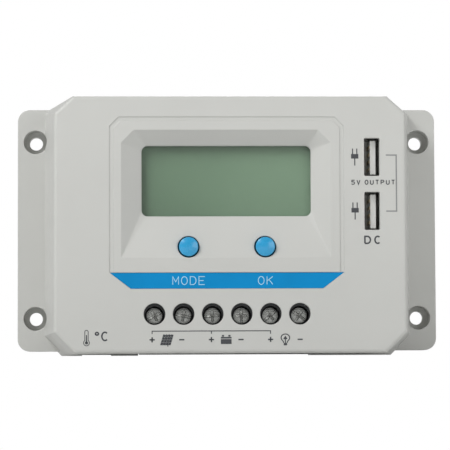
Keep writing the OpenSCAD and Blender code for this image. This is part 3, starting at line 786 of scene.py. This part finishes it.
@dataclass
class TerminalScrew:
    """A plated terminal screw: domed head with a cross and a slot, and a shank with a real thread."""

    number: int
    turn: float
    head_r: float = 2.9
    head_t: float = 2.8
    dome: float = 0.25
    rim_round: float = 0.35
    cross_half: float = 0.42
    cross_reach: float = 1.75
    cross_depth: float = 1.5
    cross_taper: float = 0.45
    slot_half: float = 0.36
    slot_depth: float = 0.75
    wall: float = 0.12
    under_cut: float = 0.15
    shank_sunk: float = 0.05
    lead_in: float = 0.5
    tip_loss: float = 0.15
    thread_r: float = 1.98
    thread_depth: float = 0.28
    pitch: float = 0.7
    head_rings: int = 56
    around: int = 208
    shank_around: int = 40
    shank_rings: int = 120
    pole_share: float = 0.004

    def recess(self, x: np.ndarray, y: np.ndarray) -> np.ndarray:
        """Depth of the drive recess: a tapering cross and a shallower slot, products of soft steps."""

        def soft(distance: np.ndarray) -> np.ndarray:
            """A smooth step from 1 inside to 0 outside, as wide as the recess's wall."""
            t = np.clip(0.5 - distance / self.wall, 0.0, 1.0)
            return t * t * (3 - 2 * t)

        reach = np.hypot(x, y)
        arm = np.minimum(np.abs(x), np.abs(y))
        taper = 1.0 - self.cross_taper * np.clip(reach / self.cross_reach, 0.0, 1.0)
        cross = self.cross_depth * taper * soft(arm - self.cross_half) * soft(reach - self.cross_reach)
        slot = self.slot_depth * soft(np.abs(y) - self.slot_half)
        return np.maximum(cross, slot)

    def build(self, shop: Workshop) -> None:
        """Builds the head as a height field over a disc, and the shank as a tube with a thread."""
        node = f"terminal_screw_{self.number}"
        low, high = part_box(node)
        x0, z0 = node_middle(node)
        top, tip = -low.y / MM, -high.y / MM
        angle = np.linspace(0.0, 2 * math.pi, self.around, endpoint=False)
        radius = self.head_r * np.linspace(self.pole_share, 1.0, self.head_rings)[:, None]
        x, y = radius * np.cos(angle), radius * np.sin(angle)
        c, s = math.cos(math.radians(self.turn)), math.sin(math.radians(self.turn))
        rim = np.clip((radius - self.head_r + self.rim_round) / self.rim_round, 0.0, 1.0)
        fall = self.rim_round * (1 - np.sqrt(1 - rim**2))
        domed = top - self.dome * (radius / self.head_r) ** 2
        height = domed - fall - self.recess(c * x + s * y, c * y - s * x)
        head = panel_points(x0 + x, z0 + y, height)
        under = top - self.head_t
        side_depth = np.array([under + self.under_cut, under])[:, None]
        side_r = np.array([self.head_r, self.head_r - self.under_cut])[:, None]
        side = panel_points(x0 + side_r * np.cos(angle), z0 + side_r * np.sin(angle), side_depth)
        pole_points = panel_points(x0, z0, np.array([top - self.cross_depth, under]))
        count = len(head) + len(side)
        faces = [
            tube_faces(self.head_rings + 2, self.around),
            fan_faces(count, 0, self.around, True),
            fan_faces(count + 1, count - self.around, self.around, False),
        ]
        shank, shank_faces = self.shank(x0, z0, under + self.shank_sunk, tip, count + 2)
        points = np.concatenate([head, side, pole_points, shank])
        piece = add_mesh(f"{node}_threaded", points, faces + shank_faces)
        face_outwards(piece)
        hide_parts(node)
        shop.finish_piece(piece, f"screw_{self.number}", "plated_steel")

    def shank(
        self, x0: float, z0: float, start: float, tip: float, first: int
    ) -> tuple[np.ndarray, list[np.ndarray]]:
        """The threaded shank: thread_r less a triangle wave of depth / pitch minus angle / full turn.

        Args:
            x0: the axis's place across, in millimetres.
            z0: the axis's place up.
            start: depth at which the shank begins, just inside the head.
            tip: depth of the shank's end.
            first: number of the shank's first vertex in the whole mesh.

        Returns:
            The points and the face arrays.
        """
        angle = np.linspace(0.0, 2 * math.pi, self.shank_around, endpoint=False)
        depth = np.linspace(start, tip, self.shank_rings)[:, None]
        phase = (depth / self.pitch - angle / (2 * math.pi)) % 1.0
        wave = np.abs(2 * phase - 1)
        lead_in = np.clip((depth - tip) / self.lead_in, 0.0, 1.0)
        radius = (self.thread_r - self.thread_depth * wave) * (1 - self.tip_loss * (1 - lead_in))
        points = panel_points(x0 + radius * np.cos(angle), z0 + radius * np.sin(angle), depth)
        ends = panel_points(x0, z0, np.array([start, tip]))
        count = first + len(points)
        faces = [
            tube_faces(self.shank_rings, self.shank_around, first),
            fan_faces(count, first, self.shank_around, True),
            fan_faces(count + 1, count - self.shank_around, self.shank_around, False),
        ]
        return np.concatenate([points, ends]), faces


# ---------------------------------------------------------------- printed marks


class Ink(Enum):
    """The printing inks."""

    GREY = "ink_grey"
    PALE = "ink_pale"
    WHITE = "ink_white"


@dataclass
class Print:
    """Marks of one ink, gathered as strokes: a rectangle carried along each path with mitred turns."""

    name: str
    ink: Ink
    surface: float
    height: float = 0.03
    sunk: float = 0.01
    mitre: float = 0.4
    points: list[np.ndarray] = field(default_factory=list)
    faces: list[np.ndarray] = field(default_factory=list)
    count: int = 0

    def stroke(
        self, path: list[tuple[float, float]] | np.ndarray, width: float, closed: bool = False
    ) -> None:
        """Adds a stroke.

        Each point's side is the mean of its two segments' normals, lengthened to keep the width even.

        Args:
            path: points (x, z) in millimetres.
            width: the stroke's width.
            closed: whether the last point joins the first.
        """
        p = np.asarray(path, float)
        ahead = np.roll(p, -1, axis=0) - p
        if not closed:
            ahead[-1] = ahead[-2]
        ahead /= np.linalg.norm(ahead, axis=1, keepdims=True)
        behind = np.roll(ahead, 1, axis=0)
        if not closed:
            behind[0] = ahead[0]
        normal = np.stack([-(ahead + behind)[:, 1], (ahead + behind)[:, 0]], axis=-1)
        normal /= np.linalg.norm(normal, axis=1, keepdims=True)
        own = np.stack([-ahead[:, 1], ahead[:, 0]], axis=-1)
        reach = width / 2 / np.clip((normal * own).sum(axis=1), self.mitre, 1.0)
        left, right = p + normal * reach[:, None], p - normal * reach[:, None]
        corners = np.stack([left, right, right, left], axis=1)
        depth = self.surface + np.array([-self.sunk, -self.sunk, self.height, self.height])
        self.points.append(panel_points(corners[..., 0], corners[..., 1], depth))
        n = len(p)
        sides = tube_faces(n, 4, self.count)
        if closed:
            j = np.arange(4)
            last, start = self.count + (n - 1) * 4 + j, self.count + j
            after = (j + 1) % 4 - j
            self.faces.append(sides)
            self.faces.append(np.stack([last, last + after, start + after, start], axis=-1))
        else:
            ends = np.array([[0, 3, 2, 1], [4 * n - 4, 4 * n - 3, 4 * n - 2, 4 * n - 1]]) + self.count
            self.faces.extend([sides, ends])
        self.count += 4 * n

    def arc(
        self,
        centre: tuple[float, float],
        radius: tuple[float, float],
        start: float,
        end: float,
        width: float,
    ) -> None:
        """Adds part of an ellipse as a stroke; angles in degrees, anticlockwise from the right."""
        steps = max(6, int(abs(end - start) / 12))
        turn = np.radians(np.linspace(start, end, steps + 1))
        closed = abs(end - start) >= 360
        turn = turn[:-1] if closed else turn
        path = np.array(centre) + np.array(radius) * np.stack([np.cos(turn), np.sin(turn)], axis=-1)
        self.stroke(path, width, closed)

    def plate(self, low: tuple[float, float], high: tuple[float, float]) -> None:
        """Adds a filled upright rectangle from its low corner to its high corner."""
        middle = (low[0] + high[0]) / 2
        self.stroke([(middle, low[1]), (middle, high[1])], high[0] - low[0])

    def build(self, shop: Workshop, slot: str) -> None:
        """Joins the strokes into one piece on the housing."""
        piece = add_mesh(self.name, np.concatenate(self.points), self.faces, smooth=False)
        face_outwards(piece)
        shop.finish_piece(piece, "housing", slot, self.ink.value)


@dataclass
class StrokeLetters:
    """Plain letters drawn with strokes and arcs, each in a box one letter height tall."""

    target: Print
    height: float
    width: float
    weight: float
    gap: float

    def write(self, word: str, left: float, base: float) -> None:
        """Writes word with its first letter's left edge at left and its feet at base, in millimetres."""
        x = left
        for letter in word:
            self.letter(letter, x, base)
            x += self.width + self.gap

    def letter(self, letter: str, x: float, z: float) -> None:
        """Draws one letter from its own few strokes; a letter that isn't listed leaves a space."""
        w, h, t = self.width, self.height, self.weight
        r = w / 2
        lines = {
            "M": [[(0, 0), (0, h), (r, h * 0.35), (w, h), (w, 0)]],
            "D": [[(0, 0), (0, h), (w * 0.45, h)], [(0, 0), (w * 0.45, 0)]],
            "E": [[(w, 0), (0, 0), (0, h), (w, h)], [(0, h / 2), (w * 0.8, h / 2)]],
            "K": [[(0, 0), (0, h)], [(w, h), (0, h * 0.42)], [(w * 0.35, h * 0.6), (w, 0)]],
            "V": [[(0, h), (r, 0), (w, h)]],
            "U": [[(0, h), (0, r)], [(w, h), (w, r)]],
            "T": [[(0, h), (w, h)], [(r, h), (r, 0)]],
            "P": [[(0, 0), (0, h), (r, h)], [(0, h / 2), (r, h / 2)]],
            "5": [[(w, h), (0.1 * w, h), (0, h * 0.55)]],
        }
        arcs = {
            "O": [((r, h / 2), (r, h / 2), 0, 360)],
            "C": [((r, h / 2), (r, h / 2), 48, 312)],
            "D": [((w * 0.45, h / 2), (w * 0.55, h / 2), -90, 90)],
            "5": [((w * 0.42, h * 0.31), (w * 0.55, h * 0.31), 140, -150)],
            "*": [((r * 0.6, h * 0.82), (r * 0.5, h * 0.16), 0, 360)],
            "U": [((r, r), (r, r), 180, 360)],
            "P": [((w * 0.5, h * 0.75), (w * 0.5, h * 0.25), -90, 90)],
        }
        for path in lines.get(letter, []):
            self.target.stroke([(x + a, z + b) for a, b in path], t)
        for (a, b), radii, start, end in arcs.get(letter, []):
            self.target.arc((x + a, z + b), radii, start, end, t)


@dataclass
class PanelPrinting:
    """All that is printed on the front: terminal signs, pictograms, port marks and the strip's words."""

    line: float = 0.3
    sign: float = 0.46
    sign_half: float = 0.85
    spread: float = 1.017
    tie_z: float = -34.9
    tie_drop: float = 0.95
    sign_z: float = -37.72
    small_z: float = 13.0
    large_z: float = -6.4
    bracket_line: float = 0.44
    plug_left: float = 5.65
    plug_up: float = 0.35
    sensor_z: float = -36.7

    def terminal_marks(self, ink: Print, screws: list[float]) -> None:
        """Draws the tie line over the three plus poles, the signs and the pictograms between them."""
        marks = [screws[-1] - (screws[-1] - x) * self.spread for x in screws]
        plus, minus = marks[0::2], marks[1::2]
        high, low = self.tie_z, self.tie_z - self.tie_drop
        ink.stroke([(plus[0], low), (plus[0], high), (plus[2], high), (plus[2], low)], self.line)
        ink.stroke([(plus[1], high), (plus[1], low)], self.line)
        for x in plus:
            ink.stroke([(x - self.sign_half, self.sign_z), (x + self.sign_half, self.sign_z)], self.sign)
            ink.stroke([(x, self.sign_z - self.sign_half), (x, self.sign_z + self.sign_half)], self.sign)
        for x in minus:
            ink.stroke([(x - self.sign_half, self.sign_z), (x + self.sign_half, self.sign_z)], self.sign)
        middles = [(a + b) / 2 for a, b in zip(plus, minus)]
        self.solar_panel(ink, middles[0], self.sign_z)
        self.battery(ink, middles[1], self.sign_z)
        self.lamp(ink, middles[2], self.sign_z)

    def solar_panel(self, ink: Print, x: float, z: float) -> None:
        """A leaning panel of four by four filled cells on a short foot."""
        cell, lean, step, edge = 0.8, 0.25, 0.86, 0.16
        for row in range(4):
            for column in range(4):
                at = x + (column - 1.5) * step + (row - 1.5) * lean
                up = z + (row - 1.5) * step
                ink.stroke([(at - lean / 2, up - cell / 2), (at + lean / 2, up + cell / 2)], cell)
        foot, left, post = z - 1.95 * step, x - 2 * lean, x + 0.3
        ink.stroke([(left - 2.0 * step, foot), (left + 1.6 * step, foot)], edge)
        ink.stroke([(post, foot), (post, z - 2.6 * step)], self.line)

    def battery(self, ink: Print, x: float, z: float) -> None:
        """A filled case with a band across it and two poles."""
        half, pole_x, pole_half = 1.75, 1.05, 0.35
        ink.plate((x - half, z - 1.45), (x + half, z + 0.15))
        ink.plate((x - half, z + 0.35), (x + half, z + 0.85))
        for side in (-1, 1):
            middle = x + side * pole_x
            ink.plate((middle - pole_half, z + 0.95), (middle + pole_half, z + 1.5))

    def lamp(self, ink: Print, x: float, z: float) -> None:
        """A lamp: an open bulb outline, its filament and a filled cap."""
        outline, filament, cap_half = 0.34, 0.4, 0.55
        ink.arc((x, z + 0.55), (1.4, 1.2), -52, 232, outline)
        for side in (-1, 1):
            ink.stroke([(x + side * 0.86, z - 0.4), (x + side * 0.5, z - 1.1)], outline)
        ink.stroke([(x - 0.5, z + 0.1), (x, z + 0.85), (x + 0.5, z + 0.1)], filament)
        ink.stroke([(x, z + 0.5), (x, z - 1.1)], outline)
        ink.plate((x - cap_half, z - 1.95), (x + cap_half, z - 1.15))

    def port_marks(self, ink: Print, x: float, ports: list[float]) -> None:
        """Draws a plug pictogram beside each outlet, and the words between and under the outlets."""
        for z in ports:
            self.plug(ink, x - self.plug_left, z + self.plug_up)
        small = StrokeLetters(ink, height=1.35, width=0.95, weight=0.32, gap=0.8)
        small.write("5V", x - 6.7, self.small_z)
        small.write("OUTPUT", x - 2.3, self.small_z)
        large = StrokeLetters(ink, height=2.3, width=1.8, weight=0.52, gap=1.5)
        large.write("DC", x - 2.5, self.large_z)

    def port_bracket(self, ink: Print, x: float, ports: list[float]) -> None:
        """Draws the bracket that joins the outlets at their right."""
        right, reach = x + 8.0, 3.4
        high, low = ports[0] + 0.6, ports[1] - 0.1
        path = [(right - reach, high), (right, high), (right, low), (right - reach, low)]
        ink.stroke(path, self.bracket_line)

    def plug(self, ink: Print, x: float, z: float) -> None:
        """A plug: two blades, a filled body and a lead."""
        half, blade_x, blade = 1.2, 0.7, 0.36
        ink.plate((x - half, z - 0.9), (x + half, z + 0.6))
        for side in (-1, 1):
            ink.stroke([(x + side * blade_x, z + 0.6), (x + side * blade_x, z + 2.4)], blade)
        ink.stroke([(x, z - 0.9), (x, z - 3.2)], blade)

    def sensor_mark(self, ink: Print, x: float, z: float) -> None:
        """A thermometer beside a degree sign and its letter."""
        left, stem_r, bulb_r, glass = x - 2.6, 0.55, 0.95, 0.24
        top, bulb = z + 1.6, (left, z - 1.95)
        ink.arc((left, top), (stem_r, stem_r), 0, 180, glass)
        for side in (-1, 1):
            ink.stroke([(left + side * stem_r, top), (left + side * stem_r, z - 1.2)], glass)
        ink.arc(bulb, (bulb_r, bulb_r), 125, 415, glass)
        ink.arc(bulb, (0.25, 0.25), 0, 360, 0.5)
        ink.stroke([(left, z - 1.9), (left, z + 0.6)], 0.34)
        letters = StrokeLetters(ink, height=2.7, width=2.0, weight=0.5, gap=0.2)
        letters.write("*C", x + 0.2, z - 1.2)

    def build(self, shop: Workshop) -> None:
        """Prints the front panel and the strip."""
        screws = [node_middle(f"terminal_screw_{i}")[0] for i in range(1, 7)]
        shells = [node_middle(node) for node in ("usb_shell_upper", "usb_shell_lower")]
        ports, across = [z for _, z in shells], shells[0][0]
        face = -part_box("front_cover")[0].y / MM
        pale = Print("port_bracket", Ink.PALE, face)
        self.port_bracket(pale, across, ports)
        pale.build(shop, "housing_plastic")
        ink = Print("panel_marks", Ink.GREY, face)
        self.terminal_marks(ink, screws)
        self.port_marks(ink, across, ports)
        self.sensor_mark(ink, node_middle("sensor_socket")[0], self.sensor_z)
        ink.build(shop, "housing_plastic")
        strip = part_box("label_strip")
        words = Print("strip_words", Ink.WHITE, -strip[0].y / MM)
        letters = StrokeLetters(words, height=2.6, width=1.9, weight=0.24, gap=0.95)
        middle = (strip[0].z + strip[1].z) / 2 / MM - letters.height / 2
        for node, word in (("mode_button", "MODE"), ("ok_button", "OK")):
            wide = len(word) * (letters.width + letters.gap) - letters.gap
            letters.write(word, node_middle(node)[0] - wide / 2, middle)
        words.build(shop, "label_blue")


# ---------------------------------------------------------------- studio


@dataclass(frozen=True)
class SoftLamp:
    """A soft rectangular lamp: place and size in metres, power in watts."""

    name: str
    at: tuple[float, float, float]
    size: tuple[float, float]
    power: float

    def hang(self) -> None:
        """Adds the lamp to the scene, aimed at the object."""
        data = bpy.data.lights.new(self.name, "AREA")
        data.shape = "RECTANGLE"
        data.size, data.size_y = self.size
        data.energy = self.power
        lamp = bpy.data.objects.new(self.name, data)
        aim = (-Vector(self.at)).to_track_quat("-Z", "Y").to_matrix().to_4x4()
        lamp.matrix_world = Matrix.Translation(self.at) @ aim
        bpy.context.scene.collection.objects.link(lamp)


LAMPS = (
    SoftLamp("key_lamp", (-0.85, -0.8, 0.95), (0.7, 0.55), 13.0),
    SoftLamp("fill_lamp", (0.9, -1.05, 0.2), (0.9, 0.9), 4.6),
    SoftLamp("back_lamp", (0.2, 1.1, 0.9), (1.0, 0.8), 9.0),
)


@dataclass
class Studio:
    """Camera, pale floor, white surroundings and soft lamps.

    The camera's angles are degrees and its shift is in millimetres; the floor's lengths are metres.
    """

    yaw: float = 2.10
    pitch: float = -3.66
    roll: float = 0.24
    shift: tuple[float, float, float] = (0.37, -2.30, -826.0)
    lens: float = 192.16
    sensor: float = 36.0
    clip: tuple[float, float] = (0.01, 20.0)
    floor_drop: float = 0.003
    floor_half: float = 3.0
    floor_lines: int = 25
    surround: float = 0.34

    def camera(self) -> None:
        """Places the camera: the panel's axes are turned by yaw, pitch and roll, then moved by shift."""
        turn = (
            Matrix.Rotation(math.radians(self.roll), 3, "Z")
            @ Matrix.Rotation(math.radians(self.pitch), 3, "X")
            @ Matrix.Rotation(math.radians(self.yaw), 3, "Y")
        )
        to_frame = Matrix(((1, 0, 0), (0, 0, -1), (0, 1, 0)))
        data = bpy.data.cameras.new("camera")
        data.lens = self.lens
        data.sensor_width = self.sensor
        data.clip_start, data.clip_end = self.clip
        camera = bpy.data.objects.new("camera", data)
        place = to_frame @ (turn.transposed() @ -Vector(self.shift)) * MM
        camera.matrix_world = Matrix.Translation(place) @ (to_frame @ turn.transposed()).to_4x4()
        bpy.context.scene.collection.objects.link(camera)
        bpy.context.scene.camera = camera

    def world(self) -> None:
        """White to the camera, and a dimmer even light for the object."""
        world = bpy.data.worlds.new("surroundings")
        bpy.context.scene.world = world
        world.use_nodes = True
        n = Nodes(world.node_tree)
        out = n.add("ShaderNodeOutputWorld")
        seen, lit = n.add("ShaderNodeBackground"), n.add("ShaderNodeBackground")
        seen.inputs["Strength"].default_value = 1.0
        seen.inputs["Color"].default_value = (1, 1, 1, 1)
        lit.inputs["Strength"].default_value = self.surround
        lit.inputs["Color"].default_value = (1.0, 1.0, 0.99, 1)
        either = n.add("ShaderNodeMixShader")
        n.join(n.add("ShaderNodeLightPath").outputs["Is Camera Ray"], either.inputs["Fac"])
        n.join(lit.outputs[0], either.inputs[1])
        n.join(seen.outputs[0], either.inputs[2])
        n.join(either.outputs[0], out.inputs["Surface"])

    def floor(self) -> None:
        """Lays the floor a little below the object, as a square grid."""
        low = CAD_BOX[0].z - self.floor_drop
        line = np.linspace(-self.floor_half, self.floor_half, self.floor_lines)
        x, y = np.meshgrid(line, line, indexing="ij")
        points = np.stack([x, y, np.full_like(x, low)], axis=-1).reshape(-1, 3)
        step = np.arange(self.floor_lines - 1)
        a = step[:, None] * self.floor_lines + step
        b = a + self.floor_lines
        faces = np.stack([a, b, b + 1, a + 1], axis=-1).reshape(-1, 4)
        floor = add_mesh("studio_floor", points, [faces])
        floor.data.materials.append(StageFloor((0.86, 0.86, 0.855)).build("studio_floor"))

    def build(self) -> None:
        """Sets up everything that isn't the object."""
        self.camera()
        self.world()
        self.floor()
        for lamp in LAMPS:
            lamp.hang()
        bpy.context.scene.view_settings.view_transform = "Standard"


def main() -> None:
    """Builds the studio and every sub-assembly in order."""
    logging.basicConfig(level=logging.INFO, format="%(name)s: %(message)s")
    Studio().build()
    shop = Workshop()
    shop.dress_frame()
    for node, body in (("mode_button", "mode_key"), ("ok_button", "ok_key")):
        PushButton(node, body).build(shop)
    for number, turn in enumerate(SCREW_TURNS, start=1):
        TerminalScrew(number, turn).build(shop)
    PanelPrinting().build(shop)


if __name__ == "__main__":
    main()
